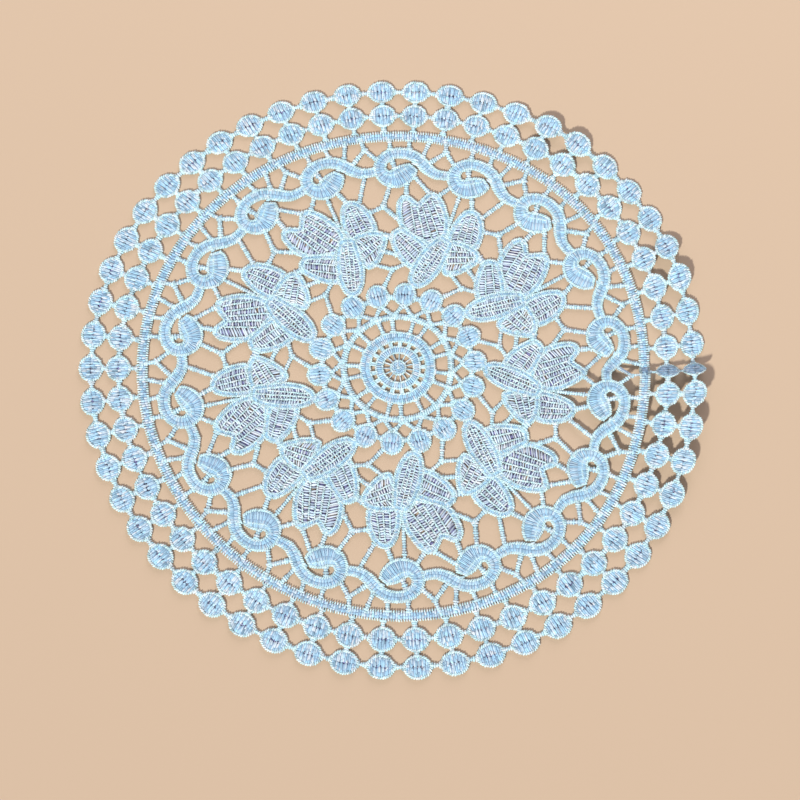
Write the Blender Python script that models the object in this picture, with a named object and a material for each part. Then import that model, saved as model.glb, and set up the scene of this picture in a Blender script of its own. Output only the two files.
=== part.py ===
"""Round lace placemat: one flat piece with its openwork cut through and its creased right edge.

Metres, +Z up. The origin is under the centre of the rosette, on the face that lies on the table.
The pattern is worked out flat, in millimetres, then each point is moved to where the mat lies.
Angles run clockwise from the far side (+Y), seen from above.
"""

import math

import bmesh
import bpy
import numpy as np
from mathutils import Vector
from mathutils.geometry import delaunay_2d_cdt

MM = 0.001
THICKNESS = 1.5
REPEATS = 9
REPEAT_DEG = 360 / REPEATS
HALF_REPEAT_DEG = REPEAT_DEG / 2
FIRST_REPEAT_DEG = 9.0
BEAD_COUNT = 54
BEAD_DEG = 360 / BEAD_COUNT

OUTER_BEAD_R = 144.4
INNER_BEAD_R = 131.5
SMALL_BEAD_R = 37.3
SMALL_BEAD_DEG = -7.6
LINK_WIDTH = 2.0
RING_INNER_R = 117.6
RING_OUTER_R = 122.9
ROSETTE_R = 17.9
NET_INNER_R = 24.8
NET_OUTER_R = 34.2

# The least area of a cut gap, and how far the outline may move when points are left out.
GAP_AREA = 12.0
OUTLINE_SLACK = 0.36
WELD = 0.01

# Beads: half width across and half height towards the centre.
BEAD_SIZES = {
    "outer": (6.5, 5.6),
    "inner": (6.2, 5.7),
    "small": (5.1, 5.7),
}

# The scroll's band, followed from its curled end to where it joins the next scroll.
# Columns: x, y, width.
SCROLL = (
    (21.4, 102.2, 2.8),
    (19.8, 100.6, 6.6),
    (17.2, 98.9, 9.0),
    (12.6, 96.7, 9.6),
    (8.1, 97.3, 8.2),
    (5.1, 100.5, 6.6),
    (4.6, 104.0, 6.0),
    (6.1, 107.4, 5.8),
    (9.3, 109.7, 5.6),
    (13.4, 110.6, 5.4),
    (17.9, 110.0, 5.4),
    (21.9, 108.0, 5.7),
    (24.9, 104.6, 6.0),
    (27.4, 100.4, 5.8),
    (30.3, 97.2, 5.1),
    (34.2, 95.6, 4.6),
    (37.4, 95.1, 4.4),
)
# The curl's eye and slot are under the cut size, so a round patch closes them: its centre and radius.
SCROLL_EYE = (15.2, 103.2, 7.0)

# Petals: base and tip, then the half width on each side at the base, at each quarter and near the tip.
# Columns: base x, base y, tip x, tip y, left widths, right widths.
PETALS = {
    "tulip_left": (1.8, 66.0, -17.3, 87.4, (2.5, 7.2, 9.3, 6.9, 3.8), (1.0, 3.0, 4.2, 4.2, 2.8)),
    "tulip_right": (2.2, 64.4, -2.8, 92.3, (2.0, 5.0, 8.3, 8.0, 3.6), (4.0, 7.8, 7.8, 5.6, 2.8)),
    "upper": (16.4, 66.9, 17.5, 87.2, (7.8, 8.0, 7.2, 5.4, 3.2), (7.2, 8.1, 7.8, 6.3, 3.6)),
    "lower_right": (8.3, 59.4, 26.3, 63.3, (9.2, 9.0, 8.0, 6.0, 3.2), (8.8, 9.7, 8.0, 5.2, 2.7)),
    "lower_left": (-0.4, 55.8, -17.9, 67.7, (6.6, 7.6, 6.9, 5.0, 3.0), (7.0, 7.4, 6.9, 5.9, 5.0)),
    "leaf": (8.8, 69.8, -2.6, 41.4, (3.6, 5.3, 6.7, 6.1, 3.8), (3.6, 6.0, 6.7, 5.6, 3.4)),
}
WIDTH_STATIONS = (0.0, 0.25, 0.5, 0.75, 0.93)

# Cords that repeat with each scroll. Columns: from x, from y, to x, to y, width.
SCROLL_CORDS = {
    "thin_gap": (16.0, 118.6, 16.0, 109.0, 11.6),
    "to_top": (31.6, 115.6, 25.3, 105.3, 2.0),
    "fork_stem": (38.3, 114.0, 37.7, 107.6, 2.0),
    "fork_left": (37.7, 107.6, 28.6, 102.9, 2.0),
    "fork_right": (37.7, 107.6, 40.2, 101.0, 2.0),
}

# Cords that repeat with each flower, in the same columns.
FLOWER_CORDS = {
    "left_scroll_to_notch": (-16.5, 100.4, -4.4, 91.0, 2.0),
    "scroll_to_right_tip": (5.7, 97.4, -1.6, 88.9, 2.0),
    "left_scroll_to_left_tip": (-16.9, 95.2, -14.8, 85.6, 2.0),
    "scroll_to_cleft": (9.9, 95.4, 8.0, 78.6, 1.8),
    "scroll_to_upper": (15.1, 95.4, 17.3, 85.0, 2.0),
    "tail_to_upper": (32.3, 96.3, 22.2, 83.4, 2.0),
    "stem": (-24.2, 92.0, -24.9, 79.4, 2.0),
    "stem_left": (-24.9, 79.4, -30.9, 74.4, 2.0),
    "stem_right": (-24.9, 79.4, -14.4, 73.4, 2.0),
    "tip_to_tip": (-21.6, 64.6, -16.4, 65.2, 6.0),
    "closed_slit": (-21.8, 59.4, -12.2, 57.6, 6.4),
    "cleft": (8.6, 78.6, 8.8, 70.0, 3.0),
    "bud_left": (-24.6, 49.0, -13.6, 48.4, 2.0),
    "bud_right": (-13.6, 48.4, -6.6, 53.8, 2.0),
    "bud_stem": (-13.6, 48.4, -15.6, 37.6, 2.0),
    "leaf_tip": (-1.4, 44.6, -3.6, 38.4, 7.0),
    "cleft_low": (10.0, 56.4, 9.8, 50.8, 3.4),
    "spoke_wide": (1.4, 17.0, 2.2, 26.4, 2.4),
    "spoke_narrow": (5.9, 15.9, 9.2, 24.6, 2.4),
}

# How the mat lies: turn, stretch into a slight oval, the pull towards the crease and the shift round it,
# which is stronger further in.
LAID_TURN_DEG = 3.2
OVAL = (-0.0035, -0.0043)
TREFOIL = (-0.0040, 0.0021)
CREASE_DEG = 87.7
CREASE_PULL_DEG = 1.0
CREASE_SHIFT_DEG = -0.95
CREASE_INNER_SHIFT = 4.2
CREASE_NARROW_DEG = 2.65
CREASE_WIDE_DEG = 55.0
CREASE_DRAW_IN = 5.65
CREASE_DRAW_DEG = 32.7
EDGE_R = 144.0

# Lifts: angle of the crest, height at the edge, spread before and after it, radius where it starts.
# The foot is the share of the height that is taken off, so that the mat lies flat beyond a lift.
LIFTS = {
    "crease": (89.3, 9.6, 3.35, 20.0, 77.0),
    "far_right": (64.0, 3.8, 6.0, 6.0, 118.0),
    "far": (30.0, 2.7, 7.0, 7.0, 124.0),
}
LIFT_FOOT = 0.04


def polar(radius, degrees):
    turn = math.radians(degrees)
    return (radius * math.sin(turn), radius * math.cos(turn))


def turned(points, degrees):
    c = math.cos(math.radians(degrees))
    s = math.sin(math.radians(degrees))
    return [(x * c + y * s, y * c - x * s) for x, y in points]


def circle(radius, count):
    return [polar(radius, 360 * i / count) for i in range(count)]


def bead(radius, degrees, size, linked_outside=True):
    """An oval whose corners fall where the links on its sides meet it."""
    across, along = size
    link = math.asin(LINK_WIDTH / 2 / along)
    steps = [q * math.pi / 2 + link + i / 2 * (math.pi / 2 - 2 * link) for q in range(4) for i in range(3)]
    if not linked_outside:
        steps = [0.0] + steps[1:-1]
    outline = [(across * math.sin(t), radius + along * math.cos(t)) for t in steps]
    return turned(outline, degrees)


def cord(start, end, width):
    (ax, ay), (bx, by) = start, end
    length = math.hypot(bx - ax, by - ay)
    nx = -(by - ay) / length * width / 2
    ny = (bx - ax) / length * width / 2
    return [(ax + nx, ay + ny), (ax - nx, ay - ny), (bx - nx, by - ny), (bx + nx, by + ny)]


def band(rows):
    """The outline of a band of changing width along the rows' points."""
    left = []
    right = []
    for i, (x, y, width) in enumerate(rows):
        before = rows[max(i - 1, 0)]
        after = rows[min(i + 1, len(rows) - 1)]
        length = math.hypot(after[0] - before[0], after[1] - before[1])
        nx = -(after[1] - before[1]) / length * width / 2
        ny = (after[0] - before[0]) / length * width / 2
        left.append((x + nx, y + ny))
        right.append((x - nx, y - ny))
    return left + right[::-1]


def petal(row):
    """A petal's outline, from the base up one side to the tip and down the other."""
    bx, by, tx, ty, left_widths, right_widths = row
    length = math.hypot(tx - bx, ty - by)
    dx = (tx - bx) / length
    dy = (ty - by) / length
    fine = [i / 10 * 0.93 for i in range(11)]
    left = np.interp(fine, WIDTH_STATIONS, left_widths)
    right = np.interp(fine, WIDTH_STATIONS, right_widths)
    side_a = [(bx + dx * length * t - dy * w, by + dy * length * t + dx * w) for t, w in zip(fine, left)]
    side_b = [(bx + dx * length * t + dy * w, by + dy * length * t - dx * w) for t, w in zip(fine, right)]
    return side_a + [(tx, ty)] + side_b[::-1]


def pattern():
    """Every shape of the flat pattern, each a list of loops: a second loop is a hole."""
    shapes = [
        [circle(RING_OUTER_R, 2 * BEAD_COUNT), circle(RING_INNER_R, 2 * BEAD_COUNT)],
        [circle(ROSETTE_R, 4 * REPEATS)],
        [circle(NET_OUTER_R, 8 * REPEATS), circle(NET_INNER_R, 4 * REPEATS)],
    ]
    for i in range(BEAD_COUNT):
        turn = BEAD_DEG * i
        following = turn + BEAD_DEG
        shapes.append([bead(OUTER_BEAD_R, turn, BEAD_SIZES["outer"], False)])
        shapes.append([bead(INNER_BEAD_R, turn, BEAD_SIZES["inner"])])
        for r in (OUTER_BEAD_R, INNER_BEAD_R):
            shapes.append([cord(polar(r, turn), polar(r, following), LINK_WIDTH)])
        shapes.append([cord(polar(RING_OUTER_R - 2, turn), polar(OUTER_BEAD_R, turn), LINK_WIDTH)])
    for i in range(2 * REPEATS):
        turn = FIRST_REPEAT_DEG + HALF_REPEAT_DEG * i
        centre = turn + SMALL_BEAD_DEG
        shapes.append([bead(SMALL_BEAD_R, centre, BEAD_SIZES["small"])])
        link = (polar(SMALL_BEAD_R, centre), polar(SMALL_BEAD_R, centre + HALF_REPEAT_DEG))
        shapes.append([cord(*link, 4.0)])
        shapes.append([turned(band(SCROLL), turn)])
        eye_x, eye_y, eye_r = SCROLL_EYE
        eye = [(eye_x + x, eye_y + y) for x, y in circle(eye_r, 16)]
        shapes.append([turned(eye, turn)])
        for ax, ay, bx, by, width in SCROLL_CORDS.values():
            shapes.append([turned(cord((ax, ay), (bx, by), width), turn)])
    for i in range(REPEATS):
        turn = FIRST_REPEAT_DEG + REPEAT_DEG * i
        for row in PETALS.values():
            shapes.append([turned(petal(row), turn)])
        for ax, ay, bx, by, width in FLOWER_CORDS.values():
            shapes.append([turned(cord((ax, ay), (bx, by), width), turn)])
    return shapes


def inside(shape, points):
    """Which of the points lie inside the shape, by counting crossings."""
    odd = np.zeros(len(points), bool)
    for loop in shape:
        a = np.array(loop)
        b = np.roll(a, -1, axis=0)
        for (ax, ay), (bx, by) in zip(a, b):
            crosses = (ay > points[:, 1]) != (by > points[:, 1])
            rise = by - ay
            if rise == 0:
                continue
            at = ax + (points[:, 1] - ay) * (bx - ax) / rise
            odd ^= crosses & (points[:, 0] < at)
    return odd


def joined_outline(shapes):
    """The outline of all shapes together, as closed loops: solid lies on the left of each."""
    corners = []
    edges = []
    for shape in shapes:
        for loop in shape:
            first = len(corners)
            corners += [Vector(point) for point in loop]
            edges += [(first + i, first + (i + 1) % len(loop)) for i in range(len(loop))]
    corners, _, triangles, _, _, _ = delaunay_2d_cdt(corners, edges, [], 0, 1e-4, False)
    corners = np.array(corners)
    triangles = np.array(triangles)
    middles = corners[triangles].mean(axis=1)
    covered = np.zeros(len(triangles), bool)
    for shape in shapes:
        outer = np.array(shape[0])
        low = outer.min(axis=0)
        high = outer.max(axis=0)
        near = np.flatnonzero(((middles > low) & (middles < high)).all(axis=1) & ~covered)
        covered[near[inside(shape, middles[near])]] = True
    links = {}
    directed = set()
    for a, b, c in triangles[covered].tolist():
        directed.update(((a, b), (b, c), (c, a)))
    for a, b in directed:
        if (b, a) not in directed:
            links.setdefault(a, []).append(b)
    loops = []
    for start in sorted(links):
        while links.get(start):
            loop = [start]
            here = links[start].pop()
            while here != start:
                loop.append(here)
                here = links[here].pop()
            loops.append(corners[loop])
    return loops


def area(loop):
    x, y = loop[:, 0], loop[:, 1]
    return float((x * np.roll(y, -1) - y * np.roll(x, -1)).sum() / 2)


def thinned(points, slack):
    """Leaves out the points of an open line that lie within the slack of a straight one."""
    if len(points) < 3:
        return list(points)
    start, end = points[0], points[-1]
    along = end - start
    length = max(float(np.hypot(*along)), 1e-9)
    away = np.abs(along[0] * (points[:, 1] - start[1]) - along[1] * (points[:, 0] - start[0])) / length
    far = int(away.argmax())
    if away[far] <= slack:
        return [start, end]
    return thinned(points[: far + 1], slack)[:-1] + thinned(points[far:], slack)


def thinned_loop(loop, slack):
    """A loop with its needless points left out, starting from the corner farthest from its middle."""
    corner = int(np.hypot(*(loop - loop.mean(axis=0)).T).argmax())
    loop = np.roll(loop, -corner, axis=0)
    far = int(np.hypot(*(loop - loop[0]).T).argmax())
    first = thinned(loop[: far + 1], slack)
    second = thinned(np.vstack([loop[far:], loop[:1]]), slack)
    return first[:-1] + second[:-1]


def lift(radius, degrees):
    height = 0.0
    for crest, top, before, after, start in LIFTS.values():
        away = (degrees - crest + 180) % 360 - 180
        spread = before if away < 0 else after
        rise = max(radius - start, 0.0) / (EDGE_R - start)
        height += top * rise * max(math.exp(-((away / spread) ** 2)) - LIFT_FOOT, 0.0)
    return height


def laid(x, y):
    """Where a point of the flat pattern comes to lie: x, y and height in millimetres."""
    radius = math.hypot(x, y)
    degrees = math.degrees(math.atan2(x, y)) % 360
    two = math.radians(2 * degrees)
    three = math.radians(3 * degrees)
    away = (degrees - CREASE_DEG + 180) % 360 - 180
    share = (radius / EDGE_R) ** 2
    swell = OVAL[0] * math.cos(two) + OVAL[1] * math.sin(two)
    swell += TREFOIL[0] * math.cos(three) + TREFOIL[1] * math.sin(three)
    drawn = radius * (1 + swell)
    drawn -= CREASE_DRAW_IN * radius / EDGE_R * math.exp(-((away / CREASE_DRAW_DEG) ** 2))
    fade = math.exp(-((away / CREASE_WIDE_DEG) ** 2)) * share
    shift = CREASE_SHIFT_DEG * (1 + CREASE_INNER_SHIFT * (1 - share))
    pull = CREASE_PULL_DEG * math.tanh(away / CREASE_NARROW_DEG) + shift
    turn = math.radians(LAID_TURN_DEG + degrees - pull * fade)
    return (drawn * math.sin(turn), drawn * math.cos(turn), lift(radius, degrees))


def flat_solid(name, loops):
    """A plate with the loops as its outline and its holes, from a filled flat curve."""
    data = bpy.data.curves.new(name, "CURVE")
    data.dimensions = "2D"
    data.fill_mode = "BOTH"
    data.extrude = THICKNESS / 2 * MM
    for loop in loops:
        spline = data.splines.new("POLY")
        spline.points.add(len(loop) - 1)
        for place, (x, y) in zip(spline.points, loop):
            place.co = (x * MM, y * MM, 0, 1)
        spline.use_cyclic_u = True
    obj = bpy.data.objects.new(name + "_outline", data)
    bpy.context.scene.collection.objects.link(obj)
    graph = bpy.context.evaluated_depsgraph_get()
    mesh = bpy.data.meshes.new_from_object(obj.evaluated_get(graph))
    mesh.name = name
    mesh.transform(obj.matrix_world)
    bpy.data.objects.remove(obj)
    return mesh


def lay_down(mesh):
    """Welds the plate's caps to its rim and moves each point to where the mat lies."""
    work = bmesh.new()
    work.from_mesh(mesh)
    bmesh.ops.remove_doubles(work, verts=work.verts, dist=WELD * MM)
    for vert in work.verts:
        x, y, height = laid(vert.co.x / MM, vert.co.y / MM)
        above = vert.co.z / MM + THICKNESS / 2
        vert.co = (x * MM, y * MM, (height + above) * MM)
    bmesh.ops.triangulate(work, faces=work.faces)
    bmesh.ops.recalc_face_normals(work, faces=work.faces)
    work.to_mesh(mesh)
    work.free()


def cotton(name, colour):
    material = bpy.data.materials.new(name)
    material.use_nodes = True
    shader = material.node_tree.nodes["Principled BSDF"]
    shader.inputs["Base Color"].default_value = (*colour, 1)
    shader.inputs["Roughness"].default_value = 0.9
    return material


for old in list(bpy.data.objects):
    bpy.data.objects.remove(old)

loops = joined_outline(pattern())
kept = [thinned_loop(loop, OUTLINE_SLACK) for loop in loops if abs(area(loop)) > GAP_AREA]
plate = flat_solid("lace_mat", kept)
lay_down(plate)
plate.materials.append(cotton("lace_cotton", (0.62, 0.76, 0.88)))
mat = bpy.data.objects.new("lace_mat", plate)
placemat = bpy.data.collections.new("lace_placemat")
bpy.context.scene.collection.children.link(placemat)
placemat.objects.link(mat)
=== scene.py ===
"""Looks of the round lace placemat: its satin stitches, knotted cords and thread fill, stitch by stitch."""

import math

import bpy
import numpy as np
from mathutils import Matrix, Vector
from mathutils.geometry import delaunay_2d_cdt


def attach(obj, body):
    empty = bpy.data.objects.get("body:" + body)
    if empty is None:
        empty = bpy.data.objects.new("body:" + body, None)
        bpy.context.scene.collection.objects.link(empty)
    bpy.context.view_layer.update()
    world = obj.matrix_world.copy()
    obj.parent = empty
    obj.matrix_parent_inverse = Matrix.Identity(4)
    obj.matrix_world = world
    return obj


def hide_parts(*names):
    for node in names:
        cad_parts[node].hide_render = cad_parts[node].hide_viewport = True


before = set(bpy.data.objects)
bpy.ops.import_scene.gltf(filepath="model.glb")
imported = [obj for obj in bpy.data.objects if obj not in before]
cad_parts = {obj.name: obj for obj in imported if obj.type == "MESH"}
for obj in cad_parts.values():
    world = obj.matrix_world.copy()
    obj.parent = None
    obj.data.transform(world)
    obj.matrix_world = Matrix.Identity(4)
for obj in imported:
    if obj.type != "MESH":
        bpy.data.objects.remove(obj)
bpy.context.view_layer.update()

MM = 0.001
# All draws come from this one sequence, so the order in which the pieces are worked stays.
RNG = np.random.default_rng(7)

# Sizes of the flat pattern, in millimetres, as in the CAD. Angles run clockwise from +Y.
REPEATS = 9
REPEAT_DEG = 360 / REPEATS
FIRST_REPEAT_DEG = 9.0
FLOWER_TURNS = [FIRST_REPEAT_DEG + REPEAT_DEG * i for i in range(REPEATS)]
SCROLL_TURNS = [FIRST_REPEAT_DEG + REPEAT_DEG / 2 * i for i in range(2 * REPEATS)]
BEAD_COUNT = 54
BEAD_DEG = 360 / BEAD_COUNT
BEAD_TURNS = [BEAD_DEG * i for i in range(BEAD_COUNT)]
OUTER_BEAD_R = 144.4
INNER_BEAD_R = 131.5
SMALL_BEAD_R = 37.3
SMALL_BEAD_DEG = -7.6
SMALL_BEAD_TURNS = [turn + SMALL_BEAD_DEG for turn in SCROLL_TURNS]
RING_INNER_R = 117.6
RING_OUTER_R = 122.9

# Half sizes of the oval beads: round the mat, and outwards.
BEAD_SIZES = {"outer": (6.7, 5.8), "inner": (6.4, 5.9), "small": (5.6, 6.1)}
BORDER_ROWS = ((OUTER_BEAD_R, BEAD_SIZES["outer"]), (INNER_BEAD_R, BEAD_SIZES["inner"]))
# Half sizes of the slot under a bead's satin.
BORDER_SLOT = (3.6, 0.8)
SMALL_SLOT = (3.0, 0.7)
BEAD_STITCHES = 12

# Links start a little inside the work that they join. Those that run outwards, by their radii:
# between the bead rows, and from the ring band to the inner beads.
LINK_LAP = 0.5
OUTWARD_LINKS = (
    (INNER_BEAD_R + 5.2, OUTER_BEAD_R - 5.1),
    (RING_OUTER_R - 0.3, INNER_BEAD_R - 5.2),
)
LINK_WIDTH = 2.3

# The scroll's band, from its curled end to where it joins the next one. Columns: x, y, width.
SCROLL = (
    (21.0, 102.3, 4.6),
    (19.6, 101.0, 7.8),
    (17.1, 99.5, 10.2),
    (12.5, 97.1, 10.4),
    (8.1, 97.3, 8.2),
    (5.1, 100.5, 6.6),
    (4.6, 104.0, 6.0),
    (6.1, 107.4, 5.8),
    (9.3, 109.7, 5.6),
    (13.4, 110.6, 5.4),
    (17.9, 110.0, 5.4),
    (21.9, 108.0, 5.7),
    (24.9, 104.6, 6.0),
    (27.4, 100.4, 5.8),
    (30.3, 97.2, 5.1),
    (34.2, 95.6, 4.6),
    (37.4, 95.1, 4.4),
)
# The half width from which the band also has a raised thread inside.
WIDE_BAND = 3.3

# Petals: base and tip, then the half width on each side at the base, at each quarter and near the tip.
# Columns: base x, base y, tip x, tip y, left widths, right widths.
PETALS = {
    "tulip_left": (1.8, 66.0, -17.3, 87.4, (2.5, 7.2, 9.3, 6.9, 3.8), (1.0, 3.0, 4.2, 4.2, 2.8)),
    "tulip_right": (2.2, 64.4, -2.8, 92.3, (2.0, 5.0, 8.3, 8.0, 3.6), (4.0, 7.8, 7.8, 5.6, 2.8)),
    "upper": (16.4, 66.9, 17.5, 87.2, (7.8, 8.0, 7.2, 5.4, 3.2), (7.2, 8.1, 7.8, 6.3, 3.6)),
    "lower_right": (8.3, 59.4, 26.3, 63.3, (9.2, 9.0, 8.0, 6.0, 3.2), (8.8, 9.7, 8.0, 5.2, 2.7)),
    "lower_left": (-0.4, 55.8, -17.9, 67.7, (6.6, 7.6, 6.9, 5.0, 3.0), (7.0, 7.4, 6.9, 5.9, 5.0)),
    "leaf": (8.8, 69.8, -2.6, 41.4, (3.6, 5.3, 6.7, 6.1, 3.8), (3.6, 6.0, 6.7, 5.6, 3.4)),
}
SINGLE_PETALS = ("leaf", "lower_left", "lower_right", "upper")
WIDTH_STATIONS = (0.0, 0.25, 0.5, 0.75, 0.93)
# Width of the satin rim, and how far stitched petals stand out past their outlines.
RIM = 2.7
PLUMP = 0.45

# Where each petal's fill runs, and the places of the lengthwise cords across it.
# Columns: base x, base y, tip x, tip y, thread pitch, bow, cord places.
FILLS = {
    "leaf": (8.8, 69.8, -2.6, 41.4, 1.35, 0.8, (-2.2, 0.1, 2.4)),
    "lower_left": (-0.4, 55.8, -17.9, 67.7, 1.25, 1.4, (-2.4, 2.2)),
    "lower_right": (8.3, 59.4, 26.3, 63.3, 1.25, 1.6, (-3.4, 0.2, 3.6)),
    "upper": (16.4, 66.9, 17.5, 87.2, 1.25, 1.8, (-3.4, -0.2, 3.2)),
    "tulip": (2.6, 66.0, -10.2, 91.0, 1.3, 1.0, (-7.4, -3.6, 0.0, 3.4, 7.2)),
}
# The cord where the two halves of the tulip meet.
BROAD_CORD = ("tulip", 3.4)
FILL_END_GAP = 0.3
SHORTEST_FILL = 1.2
CORD_CLEAR = 1.0
CORD_TAPER = 0.35
BOW_REACH = 8
LANE_TILT = 0.18
LANE_LAP = 0.4
# Dark stitches under the slits paint their shade: how far each reaches past the threads on either side, and
# the share of lanes that have one.
SLIT_LAP = 0.1
SLIT_SHARE = 0.9

# Knotted cords that repeat with each scroll. Columns: from x, from y, to x, to y, width.
SCROLL_CORDS = (
    (11.3, 118.6, 11.0, 112.4, 2.35),
    (20.8, 117.0, 20.4, 111.6, 2.35),
    (31.4, 116.0, 25.6, 105.8, 2.35),
    (38.4, 114.6, 37.7, 107.6, 2.35),
    (37.7, 107.6, 28.6, 102.9, 2.35),
    (37.7, 107.6, 40.5, 100.4, 2.35),
    (12.3, 102.2, 10.9, 107.2, 2.5),
    (21.8, 103.0, 22.8, 106.0, 2.6),
)

# Knotted cords that repeat with each flower, in the same columns.
FLOWER_CORDS = (
    (-15.2, 99.5, -4.4, 91.0, 2.35),
    (4.8, 96.3, -1.2, 89.4, 2.35),
    (-16.6, 94.0, -14.9, 86.0, 2.35),
    (9.8, 93.8, 8.2, 76.6, 2.0),
    (15.3, 94.0, 17.3, 86.0, 2.35),
    (31.8, 95.7, 22.6, 83.8, 2.35),
    (-24.1, 92.4, -24.9, 79.4, 2.35),
    (-24.9, 79.4, -30.6, 74.6, 2.35),
    (-24.9, 79.4, -15.0, 73.7, 2.35),
    (-21.6, 64.6, -16.4, 65.0, 3.6),
    (-22.4, 56.8, -12.6, 56.4, 2.35),
    (-24.6, 49.0, -13.6, 48.4, 2.1),
    (-13.6, 48.4, -6.8, 53.6, 2.1),
    (-13.6, 48.4, -15.6, 37.8, 2.1),
    (1.5, 17.4, 2.2, 26.2, 2.3),
    (6.1, 16.6, 9.2, 24.4, 2.3),
)

# Cords of the net round the rosette, placed from each small bead.
# Columns: from radius, from angle off the bead, to radius, to angle off the bead, width.
NET_CORDS = (
    (26.4, 10.4, 31.6, 1.0, 2.2),
    (26.4, -9.6, 31.6, -1.0, 2.2),
    (36.0, 7.4, 36.0, 12.6, 2.5),
    (27.1, 5.8, 27.1, 14.6, 2.5),
)

# How the mat lies, as in the CAD.
LAID_TURN_DEG = 3.2
OVAL = (-0.0035, -0.0043)
TREFOIL = (-0.0040, 0.0021)
CREASE_DEG = 87.7
CREASE_PULL_DEG = 1.0
CREASE_SHIFT_DEG = -0.95
CREASE_INNER_SHIFT = 4.2
CREASE_NARROW_DEG = 2.65
CREASE_WIDE_DEG = 55.0
CREASE_DRAW_IN = 5.65
CREASE_DRAW_DEG = 32.7
EDGE_R = 144.0
# Lifts: angle of the crest, height at the edge, spread before and after it, radius where it starts.
LIFTS = {
    "crease": (89.3, 9.6, 3.35, 20.0, 77.0),
    "far_right": (64.0, 3.8, 6.0, 6.0, 118.0),
    "far": (30.0, 2.7, 7.0, 7.0, 124.0),
}
LIFT_FOOT = 0.04

# Thread colours, linear: satin, rims, raised edges (paler in part as a painted highlight), knots, petal
# fill, dark threads that paint the shade seen in slits, and the ground, darker as painted shade between
# stitches.
SATIN = (0.45, 0.73, 0.93)
RIM_TONE = (0.46, 0.76, 0.97)
# The raised edges are paler in part as a painted highlight.
EDGE = (0.70, 0.98, 1.00)
KNOT = (0.62, 0.92, 1.00)
FILL = (0.68, 0.84, 1.00)
PAINTED_SHADE = (0.30, 0.28, 0.56)
GROUND_SHADE = (0.30, 0.42, 0.58)

# The rosette from its centre out. Rings of thread round the centre: radius, colour.
CENTRE_RINGS = ((0.6, EDGE), (1.5, SATIN), (2.5, SATIN), (3.5, EDGE))
CENTRE_R = 3.9
SPOKES = 15
SPOKE_FROM = 3.6
SPOKE_TO = 7.8
# Rings of satin. Columns: from radius, to radius, number of stitches.
SATIN_RINGS = ((7.2, 10.7, 56), (13.2, 15.7, 108), (15.5, 18.0, 108))
SATIN_RING_EDGES = (7.5, 10.6, 13.4, 17.7)
# Short bridges between the satin rings, each of four stitches side by side.
BRIDGES = 17
BRIDGE_FROM = 10.0
BRIDGE_TO = 14.0
BRIDGE_MIDDLE = 12
BRIDGE_SHIFTS = (-0.6, -0.2, 0.2, 0.6)
# The net's inner ring: a band of stitches with a raised thread on it.
NET_RING_FROM = 24.0
NET_RING_TO = 27.5
NET_RING_R = 25.8
NET_RING_STITCHES = 138
# The broad stem from each leaf's tip to the small beads, and the ground under it: from, to, width.
STEM = ((-2.2, 43.0), (-4.0, 40.4), 4.0)
STEM_GROUND = ((-2.0, 43.4), (-4.2, 39.6), 4.6)

# The ring band's teeth, one for each pair of satin stitches, and how far each reaches in.
TEETH = 630
TOOTH = 1.5
# The share of teeth with a dark speck of painted shade beside them, on each side of the band.
SHADE_SPECK_SHARE = 0.6

# Rings of the ground. Columns: outer radius, inner radius, corners round each.
GROUND_RINGS = (
    (RING_OUTER_R - 1.5, RING_INNER_R + 1.6, 216),
    (27.2, 24.9, 72),
    (17.7, 13.4, 72),
    (10.4, 7.4, 48),
)
GROUND_LOW = 0.60
GROUND_HIGH = 0.90
# How much narrower the ground is than the stitches on it.
BEAD_COVER = 0.3
CORD_COVER = 0.6
NET_COVER = 0.5
# Extra points keep the ground's triangles small. They lie on rings this far apart, and at about the
# same step round each ring: its angle is this number over the radius.
GROUND_STEP = 4.6
GROUND_STEP_DEG = 264

# A stitch is a row of numbers in these columns. Its arch is how far its middle rises.
START = slice(0, 2)
END = slice(2, 4)
Z = 4
WIDTH = 5
THICK = 6
ARCH = 7
RGB = slice(8, 11)
MID_Z = 0.75

# A stitch is drawn as a lens. Rings along it: share of its length, share of its full width.
SHORT_RINGS = ((0.22, 0.9), (0.78, 0.9))
LONG_RINGS = ((0.12, 0.72), (0.5, 1.0), (0.88, 0.72))
LONG_STITCH = 2.8
LENS_SIDES = 5
# Painted shade in the point colours: how dark a stitch is at its tips, and at its sides where the next
# stitches shade it.
TIP_SHADE = 0.72
SIDE_SHADE = 0.74

# How much stitches differ from one another: in place, height, width and tone, and how pale the
# palest are. A tone stays between these shares of its colour.
PLACE_SPREAD = 0.07
HEIGHT_SPREAD = 0.05
WIDTH_SPREAD = 0.09
TONE_SPREAD = 0.2
TONE_SHARES = (0.5, 1.35)
PALEST = 0.8
# How uneven a piece's thread is in tone, where it isn't 1.
UNEVEN = {"scroll_satin": 0.6, "petal_rims": 0.75, "rosette": 0.8}


def polar(radius, degrees):
    turn = np.radians(degrees)
    return np.stack([radius * np.sin(turn), radius * np.cos(turn)], axis=-1)


def turned(points, degrees):
    points = np.asarray(points, float)
    c, s = math.cos(math.radians(degrees)), math.sin(math.radians(degrees))
    x, y = points[..., 0], points[..., 1]
    return np.stack([x * c + y * s, y * c - x * s], axis=-1)


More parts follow.
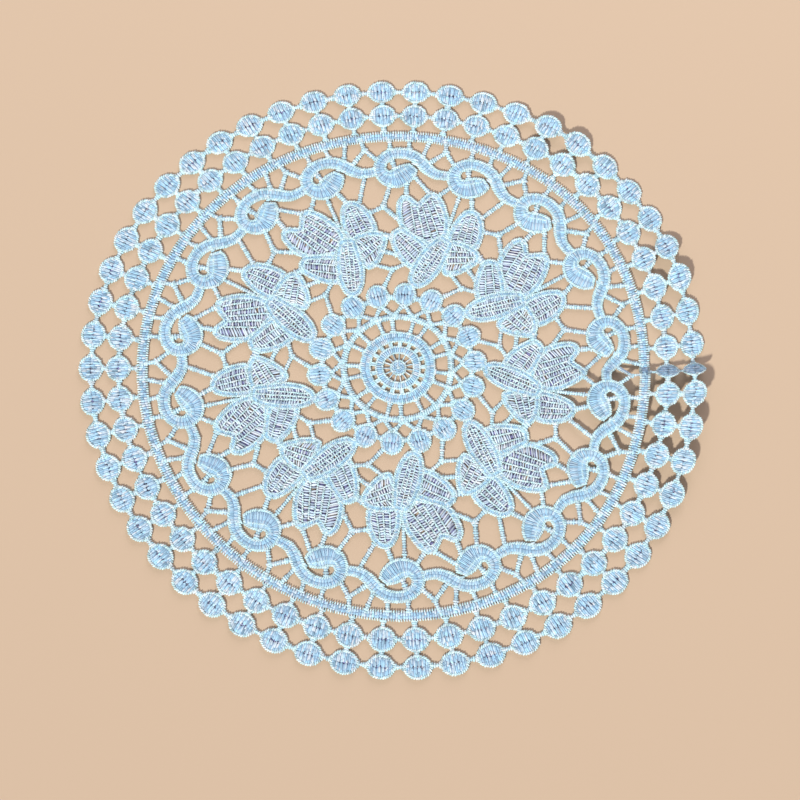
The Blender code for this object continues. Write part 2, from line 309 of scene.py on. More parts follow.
def laid(points):
    """Flat pattern points (x, y, height) moved to where the mat lies, in millimetres."""
    x, y = points[:, 0], points[:, 1]
    radius = np.hypot(x, y)
    degrees = np.degrees(np.arctan2(x, y)) % 360
    two, three = np.radians(2 * degrees), np.radians(3 * degrees)
    away = (degrees - CREASE_DEG + 180) % 360 - 180
    share = (radius / EDGE_R) ** 2
    swell = OVAL[0] * np.cos(two) + OVAL[1] * np.sin(two)
    swell += TREFOIL[0] * np.cos(three) + TREFOIL[1] * np.sin(three)
    drawn = radius * (1 + swell)
    drawn -= CREASE_DRAW_IN * radius / EDGE_R * np.exp(-((away / CREASE_DRAW_DEG) ** 2))
    fade = np.exp(-((away / CREASE_WIDE_DEG) ** 2)) * share
    shift = CREASE_SHIFT_DEG * (1 + CREASE_INNER_SHIFT * (1 - share))
    pull = CREASE_PULL_DEG * np.tanh(away / CREASE_NARROW_DEG) + shift
    turn = np.radians(LAID_TURN_DEG + degrees - pull * fade)
    height = points[:, 2].copy()
    for crest, top, before, after, start in LIFTS.values():
        off = (degrees - crest + 180) % 360 - 180
        spread = np.where(off < 0, before, after)
        rise = np.maximum(radius - start, 0) / (EDGE_R - start)
        height += top * rise * np.maximum(np.exp(-((off / spread) ** 2)) - LIFT_FOOT, 0)
    return np.stack([drawn * np.sin(turn), drawn * np.cos(turn), height], axis=1)


def rounded(loop, times=2):
    """A closed outline with its corners cut, as thread work has no sharp ones."""
    loop = np.asarray(loop, float)
    for _ in range(times):
        after = np.roll(loop, -1, axis=0)
        loop = np.stack([0.75 * loop + 0.25 * after, 0.25 * loop + 0.75 * after], axis=1).reshape(-1, 2)
    return loop


def evenly(line, pitch, closed=False):
    """Points along a line at even steps of about the pitch."""
    line = np.asarray(line, float)
    if closed:
        line = np.vstack([line, line[:1]])
    steps = np.hypot(*np.diff(line[:, :2], axis=0).T)
    at = np.concatenate([[0], np.cumsum(steps)])
    count = max(int(round(at[-1] / pitch)), 3)
    places = np.linspace(0, at[-1], count + 1)[: count if closed else count + 1]
    return np.stack([np.interp(places, at, line[:, i]) for i in range(line.shape[1])], axis=1)


def area_of(loop):
    x, y = loop[:, 0], loop[:, 1]
    return float((x * np.roll(y, -1) - y * np.roll(x, -1)).sum() / 2)


def inset(loop, width):
    """A closed outline moved inwards."""
    along = np.roll(loop, -1, axis=0) - np.roll(loop, 1, axis=0)
    along /= np.hypot(*along.T)[:, None] + 1e-9
    side = math.copysign(1, area_of(loop))
    return loop + width * side * np.stack([-along[:, 1], along[:, 0]], axis=1)


def inside(loops, points):
    """Which points lie within the loops, by counting crossings: a loop in a loop is a hole."""
    odd = np.zeros(len(points), bool)
    for loop in loops:
        for (ax, ay), (bx, by) in zip(loop, np.roll(loop, -1, axis=0)):
            if ay == by:
                continue
            crosses = (ay > points[:, 1]) != (by > points[:, 1])
            odd ^= crosses & (points[:, 0] < ax + (points[:, 1] - ay) * (bx - ax) / (by - ay))
    return odd


def flat_cord(start, end, width):
    """The four corners of a straight cord."""
    start, end = np.asarray(start, float), np.asarray(end, float)
    along = (end - start) / np.hypot(*(end - start)) * width / 2
    across = np.array([-along[1], along[0]])
    return np.array([start + across, start - across, end - across, end + across])


def slot_loop(radius, degrees, half_long, half_wide):
    """The narrow opening under a bead's satin, where its stitches part."""
    ends = [(-half_long, 0), (-half_long * 0.6, half_wide), (half_long * 0.6, half_wide)]
    loop = np.array(ends + [(-x, -y) for x, y in ends])
    return turned(loop + (0, radius), degrees)


def oval_loop(radius, degrees, size, count=20):
    steps = np.linspace(0, 2 * math.pi, count, endpoint=False)
    return turned(np.stack([size[0] * np.sin(steps), radius + size[1] * np.cos(steps)], axis=1), degrees)


def ring_loop(radius, count):
    return polar(radius, np.arange(count) * 360 / count)


def petal_outline(row):
    """One side of the petal from base to tip, and back along the other."""
    bx, by, tx, ty, left_widths, right_widths = row
    length = math.hypot(tx - bx, ty - by)
    along = np.array([tx - bx, ty - by]) / length
    across = np.array([-along[1], along[0]])
    stations = np.linspace(0, WIDTH_STATIONS[-1], 11)
    middle = np.array([bx, by]) + stations[:, None] * length * along
    left = middle + np.interp(stations, WIDTH_STATIONS, left_widths)[:, None] * across
    right = middle - np.interp(stations, WIDTH_STATIONS, right_widths)[:, None] * across
    return np.vstack([left, [[tx, ty]], right[::-1]])


def joined(shapes, extra=()):
    """All shapes as one region: its corners and its triangles."""
    corners, edges = [], []
    for shape in shapes:
        for loop in shape:
            first = len(corners)
            corners += [Vector(point) for point in loop]
            edges += [(first + i, first + (i + 1) % len(loop)) for i in range(len(loop))]
    corners += [Vector(point) for point in extra]
    corners, _, triangles, _, _, _ = delaunay_2d_cdt(corners, edges, [], 0, 1e-4, False)
    corners, triangles = np.array(corners), np.array(triangles)
    middles = corners[triangles].mean(axis=1)
    covered = np.zeros(len(triangles), bool)
    for shape in shapes:
        low, high = np.min(shape[0], axis=0), np.max(shape[0], axis=0)
        near = np.flatnonzero(((middles > low) & (middles < high)).all(axis=1) & ~covered)
        covered[near[inside(shape, middles[near])]] = True
    return corners, triangles[covered]


def rim_edges(triangles):
    """The directed edges that only one triangle has."""
    directed = np.concatenate([triangles[:, [0, 1]], triangles[:, [1, 2]], triangles[:, [2, 0]]])
    there = set(map(tuple, directed.tolist()))
    return np.array([edge for edge in directed.tolist() if (edge[1], edge[0]) not in there])


def outline_of(shapes):
    """The longest closed outline of the joined shapes."""
    corners, triangles = joined(shapes)
    after = dict(rim_edges(triangles).tolist())
    best = []
    while after:
        start = next(iter(after))
        loop, here = [start], after.pop(start)
        while here != start:
            loop.append(here)
            here = after.pop(here)
        best = max(best, loop, key=len)
    return corners[best]


def stitches(start, end, width, thick, z=MID_Z, arch=0.0, colour=SATIN):
    """One row for each stitch, in the columns above."""
    start, end = np.atleast_2d(start).astype(float), np.atleast_2d(end).astype(float)
    shape = (len(start),)
    rest = [np.broadcast_to(np.asarray(v, float), shape) for v in (z, width, thick, arch, *colour)]
    return np.column_stack([start, end, *rest])


def spun(rows, degrees):
    """The rows once more at each of the angles."""
    copies = []
    for turn in degrees:
        copy = rows.copy()
        copy[:, START] = turned(rows[:, START], turn)
        copy[:, END] = turned(rows[:, END], turn)
        copies.append(copy)
    return np.vstack(copies)


def outside(rows, loops):
    """The rows whose middles lie in none of the loops."""
    middle = (rows[:, START] + rows[:, END]) / 2
    clear = np.ones(len(rows), bool)
    for loop in loops:
        clear &= ~inside([loop], middle)
    return rows[clear]


def knotted(start, end, width, pitch=1.2, colour=KNOT):
    """A cord of knots wrapped round a raised core, broader where it joins other work."""
    line = evenly([start, end], pitch)
    along = np.subtract(end, start) / np.hypot(*np.subtract(end, start))
    across = np.array([-along[1], along[0]]) * width / 2
    lean = along * 0.18
    lap = along * 0.2
    middle = (line[:-1] + line[1:]) / 2
    count = np.arange(len(middle))
    from_end = np.minimum(count, count[::-1])[:, None] + 0.5
    flare = 1.12 + 1.3 / width * np.exp(-((from_end / 0.9) ** 2)) + RNG.normal(0, 0.12, from_end.shape)
    reach = across * flare + lean
    return np.vstack([
        stitches(middle - reach, middle + reach, 1.2, 1.3, MID_Z, 0.08, colour),
        stitches(line[:-1] - lap, line[1:] + lap, width * 0.5, 1.3, MID_Z + 0.14, 0.05, colour),
    ])


def knotted_table(table):
    return np.vstack([knotted((ax, ay), (bx, by), width) for ax, ay, bx, by, width in table])


def edging(line, width=1.2, pitch=1.1, z=MID_Z + 0.1, closed=True, colour=EDGE):
    """A raised edge thread along a line, in short slanting stitches like the turns of a rope."""
    line = evenly(line, pitch, closed)
    after = np.roll(line, -1, axis=0) if closed else line[1:]
    line = line if closed else line[:-1]
    step = (after - line) * 0.6
    side = np.stack([-step[:, 1], step[:, 0]], axis=1)
    side *= width * 0.5 / (np.hypot(*side.T)[:, None] + 1e-9) * RNG.normal(1, 0.13, (len(side), 1))
    middle = (line + after) / 2
    return stitches(middle - step - side, middle + step + side, pitch * 0.94, 1.25, z, 0.05, colour)


def bead_rows(radius, size):
    """An oval bead: an edge thread, and satin in two rows that meet over a slot, with a dark stitch under
    it as painted shade.
    """
    across, along = size
    rows = [
        edging(oval_loop(0, 0, np.subtract(size, 0.6), 72), 1.4),
        stitches((-3.4, 0), (3.4, 0), 1.9, 0.3, 0.35, 0, PAINTED_SHADE),
    ]
    columns = np.linspace(-(across - 1.6), across - 1.6, BEAD_STITCHES)
    reach = (along - 0.9) * np.sqrt(1 - (columns / (across - 0.55)) ** 2)
    parts = np.abs(columns) < across * 0.62
    zigzag = (-1.0) ** np.arange(BEAD_STITCHES)
    for side in (-1, 1):
        apart = np.clip(RNG.normal(0.22, 0.14, BEAD_STITCHES), 0, 0.5) * parts
        past = RNG.normal(0.2, 0.25, BEAD_STITCHES) * -side
        rim = np.stack([columns, side * reach], axis=1)
        seam = np.stack([columns + apart * zigzag, past], axis=1)
        between = rim + (seam - rim) * RNG.uniform(0.2, 0.8, (BEAD_STITCHES, 1))
        overlap = (seam - rim) * 0.07
        rows.append(stitches(rim, between + overlap, 1.12, 0.9, MID_Z + 0.02, 0.1))
        rows.append(stitches(between - overlap, seam, 1.12, 0.9, MID_Z + 0.08, 0.1))
    rows = np.vstack(rows)
    rows[:, [1, 3]] += radius
    return rows


def beads(radius, size, degrees):
    """One bead at each angle, each worked afresh."""
    return np.vstack([spun(bead_rows(radius, size), [turn]) for turn in degrees])


def bead_links():
    """From and to points of the links in the bead rows, between them and to the ring."""
    links = []
    for turn in BEAD_TURNS:
        for radius, (across, _) in BORDER_ROWS:
            here, there = polar(radius, turn), polar(radius, turn + BEAD_DEG)
            step = (there - here) / np.hypot(*(there - here)) * (across - LINK_LAP)
            links.append((here + step, there - step))
        links += [(polar(low, turn), polar(high, turn)) for low, high in OUTWARD_LINKS]
    return links


def petal_loops():
    """The petals' outlines in the frame of one repeat, from the top one down."""
    loops = {name: petal_outline(PETALS[name]) for name in SINGLE_PETALS}
    halves = [[petal_outline(PETALS[name])] for name in ("tulip_left", "tulip_right")]
    loops["tulip"] = outline_of(halves)
    for name, loop in loops.items():
        loops[name] = evenly(inset(evenly(rounded(loop), 0.8, True), -PLUMP), 0.78, True)
    return loops


def fill_rows(name, outline):
    """Threads across a petal in lanes, dark stitches under their slits as painted shade, and lengthwise
    cords between the lanes.
    """
    bx, by, tx, ty, pitch, bow, places = FILLS[name]
    base = np.array([bx, by])
    length = math.hypot(tx - bx, ty - by)
    along = np.array([tx - bx, ty - by]) / length
    across = np.array([-along[1], along[0]])
    edge = inset(outline, RIM - 0.5) - base
    local = np.stack([edge @ along, edge @ across], axis=1)
    after = np.roll(local, -1, axis=0)
    threads, slit_shades, cords = [], [], {}
    for s in np.arange(local[:, 0].min() + FILL_END_GAP, local[:, 0].max() - FILL_END_GAP, pitch):
        cuts = (local[:, 0] > s) != (after[:, 0] > s)
        a, b = local[cuts], after[cuts]
        spots = np.sort(a[:, 1] + (s - a[:, 0]) * (b[:, 1] - a[:, 1]) / (b[:, 0] - a[:, 0]))
        taper = 1 - CORD_TAPER * s / length
        for low, high in zip(spots[::2], spots[1::2]):
            if high - low < SHORTEST_FILL:
                continue
            crossed = [p for p in places if low + CORD_CLEAR < p * taper < high - CORD_CLEAR]
            stops = [low, *(p * taper for p in crossed), high]
            for lane, (u, v) in enumerate(zip(stops[:-1], stops[1:])):
                sag = bow * np.square([u / BOW_REACH, v / BOW_REACH])
                tilt = LANE_TILT * pitch * (-1) ** lane
                early, late = RNG.normal(0, 0.2, 2)
                short = 0.9 * RNG.random(2) ** 4
                first = (s - sag[0] - tilt + early, u - LANE_LAP + short[0])
                last = (s - sag[1] + tilt + late, v + LANE_LAP - short[1])
                threads.append((*first, *last))
                if RNG.random() < SLIT_SHARE:
                    middle = (u + v) / 2
                    low_s = s - SLIT_LAP - sag.mean()
                    high_s = s + pitch + SLIT_LAP - sag.mean()
                    slit_shades.append((low_s, middle, high_s, middle, v - u))
            for p in crossed:
                cords.setdefault(p, []).append((s, p * taper))

    def placed(spots):
        return base + spots[:, :1] * along + spots[:, 1:2] * across

    threads, slit_shades = np.array(threads), np.array(slit_shades)
    widths = RNG.normal(0.88, 0.16, len(threads))
    made = [
        stitches(placed(threads[:, START]), placed(threads[:, END]), widths, 0.9, MID_Z, 0.12, FILL),
        stitches(placed(slit_shades[:, START]), placed(slit_shades[:, END]), slit_shades[:, 4], 0.3, 0.4, 0, PAINTED_SHADE),
    ]
    for place, line in cords.items():
        if len(line) > 2:
            broad = 1.1 if (name, place) == BROAD_CORD else 0.5
            made.append(edging(placed(np.array(line)), broad, 1.0, MID_Z + 0.2, False))
    return np.vstack(made)


def petal_rows(loops):
    """The rims and the fills of a flower's petals. Each petal lies under the ones before it."""
    rims, fills, above = [], [], []
    for name, outline in loops.items():
        inner = np.roll(inset(outline, RIM), -1, axis=0)
        rim = np.vstack([
            stitches(inset(outline, 0.6), inner, 0.72, 1.15, MID_Z, 0.12, RIM_TONE),
            edging(inset(outline, 0.5)),
            edging(inset(outline, RIM - 0.3), 0.9, 1.05, MID_Z + 0.05),
        ])
        rims.append(outside(rim, above))
        fills.append(outside(fill_rows(name, outline), above))
        above.append(inset(outline, 0.2))
    return np.vstack(rims), np.vstack(fills)


def scroll_band():
    """The scroll's smoothed middle line at even steps: its points, headings, normals and half widths."""
    spine = evenly(SCROLL, 0.25)
    kernel = np.ones(13) / 13
    spine = np.column_stack([np.convolve(np.pad(column, 6, "edge"), kernel, "valid") for column in spine.T])
    spine = evenly(spine, 0.74)
    middle = spine[:, :2]
    heading = np.gradient(middle, axis=0)
    heading /= np.hypot(*heading.T)[:, None]
    normal = np.stack([-heading[:, 1], heading[:, 0]], axis=1)
    return middle, heading, normal, spine[:, 2:3] / 2


def scroll_rows(middle, heading, normal, half):
    """Satin in two rows along the scroll, a raised thread round it, and one inside its wide part."""
    left, right = middle + normal * half, middle - normal * half
    nose = left[0] + (right[0] - left[0]) * np.linspace(0, 1, 5)[:, None]
    rows = [
        edging(left - normal * 0.5, 1.6, closed=False),
        edging(right + normal * 0.5, 1.6, closed=False),
        edging(nose, 1.2, closed=False),
    ]
    part = 0.14 * (-1.0) ** np.arange(len(middle))[:, None] * heading
    for rim, seam in ((-0.86, 0.08), (0.86, -0.08)):
        from_rim = middle + normal * half * rim
        to_seam = middle + normal * half * seam + part
        rows.append(stitches(from_rim, to_seam, 0.94, 1.0, MID_Z + 0.04, 0.14))
    wide = half[:, 0] >= WIDE_BAND
    rows.append(edging((middle - normal * half * 0.4)[wide], 1.0, 1.0, MID_Z + 0.16, False))
    return np.vstack(rows)


def ring_band_rows():
    """The ring band: teeth on both sides, satin in two rows that meet unevenly, and dark specks of painted
    shade.
    """
    angle = np.arange(TEETH) * 360 / TEETH
    seam = RNG.normal((RING_INNER_R + RING_OUTER_R) / 2, 0.35, TEETH)
    leaning = angle + RNG.normal(0, 0.12, TEETH)
    shade_speck = (angle + 180 / TEETH)[RNG.random(TEETH) < SHADE_SPECK_SHARE]
    tooth_look = (0.9, 1.2, MID_Z, 0.1, EDGE)
    satin_look = (1.25, 1.1, MID_Z, 0.14, RIM_TONE)
    shade_speck_look = (0.35, 0.5, MID_Z, 0, PAINTED_SHADE)
    return np.vstack([
        stitches(polar(RING_OUTER_R + 0.2, angle), polar(RING_OUTER_R - TOOTH, angle + 0.1), *tooth_look),
        stitches(polar(RING_INNER_R - 0.1, angle), polar(RING_INNER_R + TOOTH, angle + 0.1), *tooth_look),
        stitches(polar(RING_OUTER_R - 0.9, angle), polar(seam - 0.2, leaning), *satin_look),
        stitches(polar(RING_INNER_R + 0.9, angle), polar(seam + 0.2, leaning), *satin_look),
        stitches(polar(RING_OUTER_R - 0.6, shade_speck), polar(RING_OUTER_R - 1.8, shade_speck), *shade_speck_look),
        stitches(polar(RING_INNER_R + 0.7, shade_speck), polar(RING_INNER_R + 1.9, shade_speck), *shade_speck_look),
    ])


def cord_rows(links):
    """The bead links and all knotted cords of scrolls and flowers."""
    linked = [knotted(a, b, LINK_WIDTH, 1.0) for a, b in links]
    at_scroll = knotted_table(SCROLL_CORDS)
    at_flower = knotted_table(FLOWER_CORDS)
    return np.vstack([*linked, spun(at_scroll, SCROLL_TURNS), spun(at_flower, FLOWER_TURNS)])


def net_ends():
    """From and to points and width of each net cord, in the frame of one scroll."""
    ends = []
    for from_r, from_deg, to_r, to_deg, width in NET_CORDS:
        ends.append((polar(from_r, SMALL_BEAD_DEG + from_deg), polar(to_r, SMALL_BEAD_DEG + to_deg), width))
    return ends


def rosette_rows(net):
    """The rosette: centre, spokes, satin rings with bridges between, the net and the small beads."""
    rows = [edging(ring_loop(radius, 60), 1.1, 0.9, colour=tone) for radius, tone in CENTRE_RINGS]
    spoke = np.arange(SPOKES) * 360 / SPOKES
    rows.append(stitches(polar(SPOKE_FROM, spoke), polar(SPOKE_TO, spoke), 0.6, 0.7, colour=EDGE))
    for low, high, count in SATIN_RINGS:
        angle = np.arange(count) * 360 / count
        start, end = polar(low - 0.1, angle), polar(high + 0.1, angle + 1.2)
        rows.append(stitches(start, end, 1.0, 1.15, MID_Z, 0.14, RIM_TONE))
    for radius in SATIN_RING_EDGES:
        rows.append(edging(ring_loop(radius, 120), 0.9, 1.0))
    bridge = np.arange(BRIDGES) * 360 / BRIDGES
    for shift in BRIDGE_SHIFTS:
        off = np.degrees(shift / BRIDGE_MIDDLE)
        start, end = polar(BRIDGE_FROM, bridge + off * 1.2), polar(BRIDGE_TO, bridge + off)
        rows.append(stitches(start, end, 0.78, 1.1, colour=KNOT))
    angle = np.arange(NET_RING_STITCHES) * 360 / NET_RING_STITCHES
    start, end = polar(NET_RING_FROM, angle), polar(NET_RING_TO, angle + 1.6)
    rows.append(stitches(start, end, 1.2, 1.3, MID_Z, 0.1, KNOT))
    rows.append(edging(ring_loop(NET_RING_R, 120), 1.3, 1.15, MID_Z + 0.2, colour=KNOT))
    rows.append(spun(np.vstack([knotted(a, b, width) for a, b, width in net]), SCROLL_TURNS))
    rows.append(beads(SMALL_BEAD_R, BEAD_SIZES["small"], SMALL_BEAD_TURNS))
    rows.append(spun(knotted(*STEM, colour=SATIN), FLOWER_TURNS))
    return np.vstack(rows)


def ground_shapes(petals, scroll_outline, links, net):
    """Every form of the mat as a list of loops: its outline and, where it has one, its opening."""
    shapes = [[ring_loop(outer, count), ring_loop(inner, count)] for outer, inner, count in GROUND_RINGS]
    shapes.append([ring_loop(CENTRE_R, 24)])
    for turn in BEAD_TURNS:
        for radius, size in BORDER_ROWS:
            oval = oval_loop(radius, turn, np.subtract(size, BEAD_COVER))
            shapes.append([oval, slot_loop(radius, turn, *BORDER_SLOT)])
    for a, b in links:
        shapes.append([flat_cord(a + (a - b) * 0.3, b + (b - a) * 0.3, 1.2)])
    for turn, bead_turn in zip(SCROLL_TURNS, SMALL_BEAD_TURNS):
        shapes.append([turned(scroll_outline, turn)])
        oval = oval_loop(SMALL_BEAD_R, bead_turn, np.subtract(BEAD_SIZES["small"], BEAD_COVER))
        shapes.append([oval, slot_loop(SMALL_BEAD_R, bead_turn, *SMALL_SLOT)])
        for ax, ay, bx, by, width in SCROLL_CORDS:
            shapes.append([turned(flat_cord((ax, ay), (bx, by), width - CORD_COVER), turn)])
        for a, b, width in net:
            shapes.append([turned(flat_cord(a, b, width - NET_COVER), turn)])
    for turn in FLOWER_TURNS:
        for outline in petals.values():
            edge, opening = inset(outline, 0.25)[::3], inset(outline, RIM - 0.2)[::3]
            shapes.append([turned(edge, turn), turned(opening, turn)])
        for ax, ay, bx, by, width in FLOWER_CORDS:
            shapes.append([turned(flat_cord((ax, ay), (bx, by), width - CORD_COVER), turn)])
        shapes.append([turned(flat_cord(*STEM_GROUND), turn)])
    for i in range(BRIDGES):
        shapes.append([turned(flat_cord((0, BRIDGE_FROM), (0, 13.8), 1.3), 360 / BRIDGES * i)])
    for i in range(SPOKES):
        shapes.append([turned(flat_cord((0, SPOKE_FROM), (0, SPOKE_TO), 0.5), 360 / SPOKES * i)])
    return shapes


def ground_sheet(shapes):
    """A thin woven sheet in all the shapes, with every gap open, and its area in square metres."""
    extra = []
    for radius in np.arange(3, 150, GROUND_STEP):
        extra.extend(polar(radius, np.arange(0, 360, GROUND_STEP_DEG / radius)))
    corners, triangles = joined(shapes, extra)
    used, triangles = np.unique(triangles, return_inverse=True)
    triangles = triangles.reshape(-1, 3)
    corners = corners[used]
    count = len(corners)
    a, b, c = corners[triangles[:, 0]], corners[triangles[:, 1]], corners[triangles[:, 2]]
    doubled = (b - a)[:, 0] * (c - a)[:, 1] - (b - a)[:, 1] * (c - a)[:, 0]
    rim = rim_edges(triangles)
    points = np.vstack([
        np.column_stack([corners, np.full(count, GROUND_HIGH)]),
        np.column_stack([corners, np.full(count, GROUND_LOW)]),
    ])
    walls = np.vstack([
        np.column_stack([rim[:, 1], rim[:, 0], rim[:, 0] + count]),
        np.column_stack([rim[:, 1], rim[:, 0] + count, rim[:, 1] + count]),
    ])
    faces = np.vstack([triangles, triangles[:, ::-1] + count, walls])
    return mesh_object("lace_ground", laid(points), faces), float(np.abs(doubled).sum() / 2) * MM * MM


def mesh_object(name, points, faces, colours=None):
    """A mesh of triangles from arrays, with a colour at each point where they are given."""
    mesh = bpy.data.meshes.new(name)
    mesh.vertices.add(len(points))
    mesh.vertices.foreach_set("co", (points * MM).astype(np.float32).ravel())
    mesh.loops.add(faces.size)
    mesh.loops.foreach_set("vertex_index", faces.astype(np.int32).ravel())
    mesh.polygons.add(len(faces))
    mesh.polygons.foreach_set("loop_start", np.arange(0, faces.size, 3, dtype=np.int32))
    mesh.update(calc_edges=True)
    if colours is not None:
        layer = mesh.attributes.new("thread_tint", "FLOAT_COLOR", "POINT")
        opaque = np.column_stack([colours, np.ones(len(colours))])
        layer.data.foreach_set("color", opaque.astype(np.float32).ravel())
    obj = bpy.data.objects.new(name, mesh)
    bpy.context.scene.collection.objects.link(obj)
    return obj


def lenses(rows, rings):
    """The rows' stitches as lenses: points, faces and point colours, with painted shade that makes them
    darker at the tips and the sides.
    """
    start, end = rows[:, START], rows[:, END]
    span = end - start
    side = np.stack([-span[:, 1], span[:, 0]], axis=1) / (np.hypot(*span.T)[:, None] + 1e-9)
    cells, shades = [np.column_stack([start, rows[:, Z]])], [TIP_SHADE]
    for at, fat in rings:
        middle = start + span * at
        lift = rows[:, Z] + rows[:, ARCH] * 4 * at * (1 - at)
        for angle in (np.arange(LENS_SIDES) + 0.5) * 2 * math.pi / LENS_SIDES:
            flat = middle + side * (rows[:, WIDTH] / 2 * fat * math.cos(angle))[:, None]
            cells.append(np.column_stack([flat, lift + rows[:, THICK] / 2 * fat * math.sin(angle)]))
            shades.append(SIDE_SHADE + (1 - SIDE_SHADE) * abs(math.sin(angle)) * fat)
    cells.append(np.column_stack([end, rows[:, Z]]))
    shades.append(TIP_SHADE)
    per = len(cells)
    faces = []
    last = 1 + (len(rings) - 1) * LENS_SIDES
    for i in range(LENS_SIDES):
        j = (i + 1) % LENS_SIDES
        faces += [(0, 1 + i, 1 + j), (last + j, last + i, per - 1)]
        for a in range(1, last, LENS_SIDES):
            b = a + LENS_SIDES
            faces += [(a + i, b + i, b + j), (a + i, b + j, a + j)]
    faces = (np.array(faces)[None] + (np.arange(len(rows)) * per)[:, None, None]).reshape(-1, 3)
    colours = rows[:, None, RGB] * np.array(shades)[None, :, None]
    return np.stack(cells, axis=1).reshape(-1, 3), faces, colours.reshape(-1, 3)


def thread_piece(name, rows):
    """One mesh of all the rows' stitches, none quite like the next."""
    rows = rows.copy()
    count = len(rows)
    uneven = UNEVEN.get(name, 1.0)
    rows[:, 0:4] += RNG.normal(0, PLACE_SPREAD, (count, 4))
    rows[:, Z] += RNG.normal(0, HEIGHT_SPREAD, count)
    rows[:, WIDTH] *= RNG.normal(1, WIDTH_SPREAD, count)
    rows[:, RGB] *= np.clip(RNG.normal(0.97, TONE_SPREAD * uneven, (count, 1)), *TONE_SHARES)
    rows[:, RGB] += (1 - rows[:, RGB]) * PALEST * uneven * RNG.random((count, 1)) ** 2.5
    span = rows[:, END] - rows[:, START]
    long = np.hypot(span[:, 0], span[:, 1]) > LONG_STITCH
    first, second = lenses(rows[~long], SHORT_RINGS), lenses(rows[long], LONG_RINGS)
    points = np.vstack([first[0], second[0]])
    faces = np.vstack([first[1], second[1] + len(first[0])])
    colours = np.clip(np.vstack([first[2], second[2]]), 0, 1)
    obj = mesh_object(name, laid(points), faces, colours)
    obj.data.shade_smooth()
    return obj


# Thread: the finish, and the scales of its fine twist and of its broad mottling.
FINISH = {"Roughness": 0.72, "Sheen Weight": 0.25, "Sheen Roughness": 0.5, "Specular IOR Level": 0.3}
TWIST = {"Scale": 2600, "Detail": 3}
MOTTLE = {"Scale": 55, "Detail": 2}
DARK_TONE = (0.80, 0.84, 0.90, 1)
TWIST_DEPTH = 0.12 * MM
# Sockets of a Mix node of colours: factor, the two colours, and the result.
MIX_FACTOR = 0
MIX_A = 6
MIX_B = 7
MIX_RESULT = 2


def set_inputs(node, values):
    for socket, value in values.items():
        node.inputs[socket].default_value = value


def thread_material(name, ground_colour=None):
    """Matte thread: its colour varies by stitch, with fine twist lines and a soft sheen."""
    material = bpy.data.materials.new(name)
    material.use_nodes = True
    nodes, link = material.node_tree.nodes, material.node_tree.links.new
    shader = nodes["Principled BSDF"]
    set_inputs(shader, FINISH)
    where = nodes.new("ShaderNodeTexCoord")
    twist, mottle = nodes.new("ShaderNodeTexNoise"), nodes.new("ShaderNodeTexNoise")
    for noise, values in ((twist, TWIST), (mottle, MOTTLE)):
        set_inputs(noise, values)
        link(where.outputs["Object"], noise.inputs["Vector"])
    half_mottle = nodes.new("ShaderNodeMath")
    half_mottle.operation = "MULTIPLY"
    half_mottle.inputs[1].default_value = 0.5
    link(mottle.outputs["Fac"], half_mottle.inputs[0])
    both = nodes.new("ShaderNodeMath")
    both.operation = "MULTIPLY_ADD"
    both.inputs[1].default_value = 0.5
    link(twist.outputs["Fac"], both.inputs[0])
    link(half_mottle.outputs[0], both.inputs[2])
    tones = nodes.new("ShaderNodeValToRGB")
    dark, light = tones.color_ramp.elements
    dark.position, dark.color = 0.3, DARK_TONE
    light.position, light.color = 0.7, (1, 1, 1, 1)
    link(both.outputs[0], tones.inputs["Fac"])
    shade = nodes.new("ShaderNodeMix")
    shade.data_type = "RGBA"
    shade.blend_type = "MULTIPLY"
    shade.inputs[MIX_FACTOR].default_value = 1
    # The ground's one colour, darker than the thread, is painted shade between the stitches.
    if ground_colour:
        shade.inputs[MIX_A].default_value = (*ground_colour, 1)
    else:
        tint = nodes.new("ShaderNodeAttribute")
        tint.attribute_name = "thread_tint"
        link(tint.outputs["Color"], shade.inputs[MIX_A])
    link(tones.outputs["Color"], shade.inputs[MIX_B])
    link(shade.outputs[MIX_RESULT], shader.inputs["Base Color"])
    bump = nodes.new("ShaderNodeBump")
    set_inputs(bump, {"Strength": 0.35, "Distance": TWIST_DEPTH})
    link(twist.outputs["Fac"], bump.inputs["Height"])
    link(bump.outputs["Normal"], shader.inputs["Normal"])
    return material


# The stitches of every piece, flat, and the ground under them.
petals = petal_loops()
rims, fills = petal_rows(petals)
middle, heading, normal, half = scroll_band()
scroll = scroll_rows(middle, heading, normal, half)
scroll_outline = np.vstack([middle + normal * half, (middle - normal * half)[::-1]])
links = bead_links()
net = net_ends()
ground, ground_area = ground_sheet(ground_shapes(petals, scroll_outline, links, net))
pieces = {
    "border_beads": beads(OUTER_BEAD_R, BEAD_SIZES["outer"], BEAD_TURNS),
    "inner_beads": beads(INNER_BEAD_R, BEAD_SIZES["inner"], BEAD_TURNS),
    "scroll_satin": spun(scroll, SCROLL_TURNS),
    "petal_rims": spun(rims, FLOWER_TURNS),
    "petal_threads": spun(fills, FLOWER_TURNS),
    "ring_band": ring_band_rows(),
    "knotted_cords": cord_rows(links),
    "rosette": rosette_rows(net),
}

# The ground is the sheet of cloth, its darker colour painted shade between the stitches, and each group of
# stitches is a piece on it.
thread = thread_material("lace_thread")
ground.data.materials.append(thread_material("lace_ground_painted_shade", GROUND_SHADE))
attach(ground, "root")
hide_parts("lace_mat")
for name, rows in pieces.items():
    obj = thread_piece(name, rows)
    obj.data.materials.append(thread)
    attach(obj, "root")
    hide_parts("lace_mat")

# A plain pale floor.
FLOOR_SIZE = 8
FLOOR_LOOK = {"Base Color": (0.60, 0.45, 0.32, 1), "Roughness": 0.9}
bpy.ops.mesh.primitive_plane_add(size=FLOOR_SIZE, location=(0, 0, 0))
floor = bpy.context.object
floor.name = "floor"
paper = bpy.data.materials.new("floor_pale")
paper.use_nodes = True
set_inputs(paper.node_tree.nodes["Principled BSDF"], FLOOR_LOOK)
floor.data.materials.append(paper)

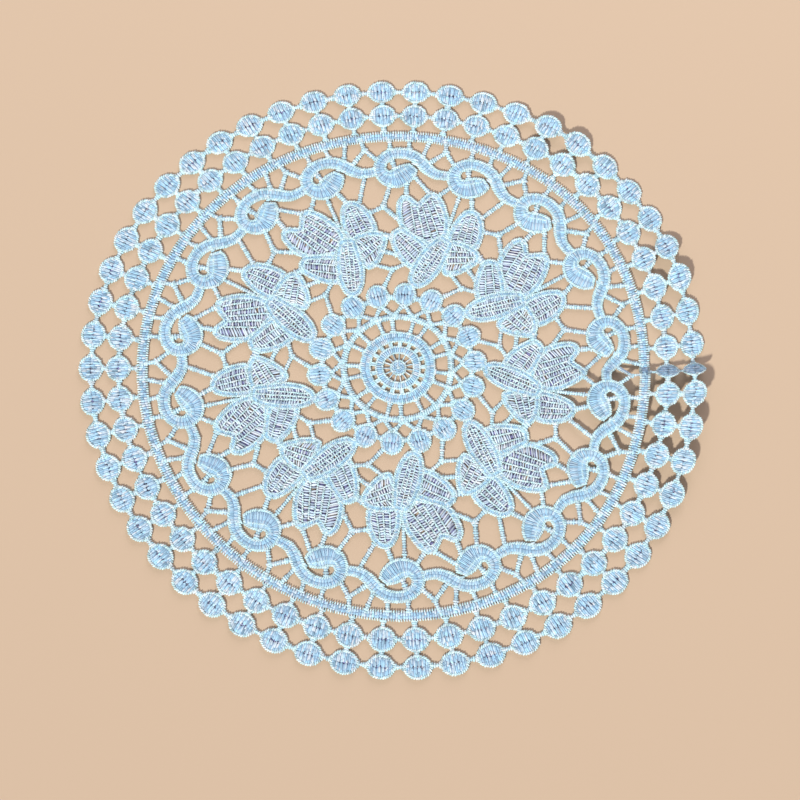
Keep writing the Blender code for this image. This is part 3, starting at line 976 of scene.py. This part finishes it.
# Light: a soft sun from the near left, a low fill from the far side, and a pale surround.
SUN_DIRECTION = (0.48, 1.17, -1.0)
SUN_ENERGY = 3.5
SUN_WIDTH_DEG = 4
SUN_COLOUR = (1.0, 1.0, 0.94)
FILL_PLACE = (0.5, 2.0, 0.8)
FILL_SIZE = 1.6
FILL_POWER = 30
FILL_COLOUR = (0.92, 0.93, 1.0)
SURROUND = {"Color": (0.96, 0.88, 0.96, 1), "Strength": 0.37}


def aimed(direction):
    """The rotation that points a lamp along a direction."""
    return Vector(direction).to_track_quat("-Z", "Y").to_euler()


sun = bpy.data.lights.new("key", "SUN")
sun.energy = SUN_ENERGY
sun.angle = math.radians(SUN_WIDTH_DEG)
sun.color = SUN_COLOUR
key = bpy.data.objects.new("key", sun)
key.rotation_euler = aimed(SUN_DIRECTION)
bpy.context.scene.collection.objects.link(key)
disk = bpy.data.lights.new("fill", "AREA")
disk.shape = "DISK"
disk.size = FILL_SIZE
disk.energy = FILL_POWER
disk.color = FILL_COLOUR
fill = bpy.data.objects.new("fill", disk)
fill.location = FILL_PLACE
fill.rotation_euler = aimed(-Vector(FILL_PLACE))
bpy.context.scene.collection.objects.link(fill)
world = bpy.data.worlds.new("studio")
world.use_nodes = True
set_inputs(world.node_tree.nodes["Background"], SURROUND)
bpy.context.scene.world = world
bpy.context.scene.view_settings.view_transform = "Standard"

# The photo's camera, which looks down on a point near the middle of the mat.
CAMERA_DISTANCE = 1.25
CAMERA_TILT = math.radians(19.07)
LOOK_AT = (0.0007, -0.0158)
PIXELS_PER_MM = 2.129
IMAGE_PIXELS = 800
SENSOR_WIDTH = 36
lens = bpy.data.cameras.new("camera")
lens.sensor_width = SENSOR_WIDTH
lens.lens = SENSOR_WIDTH * PIXELS_PER_MM * CAMERA_DISTANCE / MM / IMAGE_PIXELS
camera = bpy.data.objects.new("camera", lens)
camera.location = (
    LOOK_AT[0],
    LOOK_AT[1] - CAMERA_DISTANCE * math.sin(CAMERA_TILT),
    CAMERA_DISTANCE * math.cos(CAMERA_TILT),
)
camera.rotation_euler = (CAMERA_TILT, 0, 0)
bpy.context.scene.collection.objects.link(camera)
bpy.context.scene.camera = camera

bpy.context.view_layer.update()
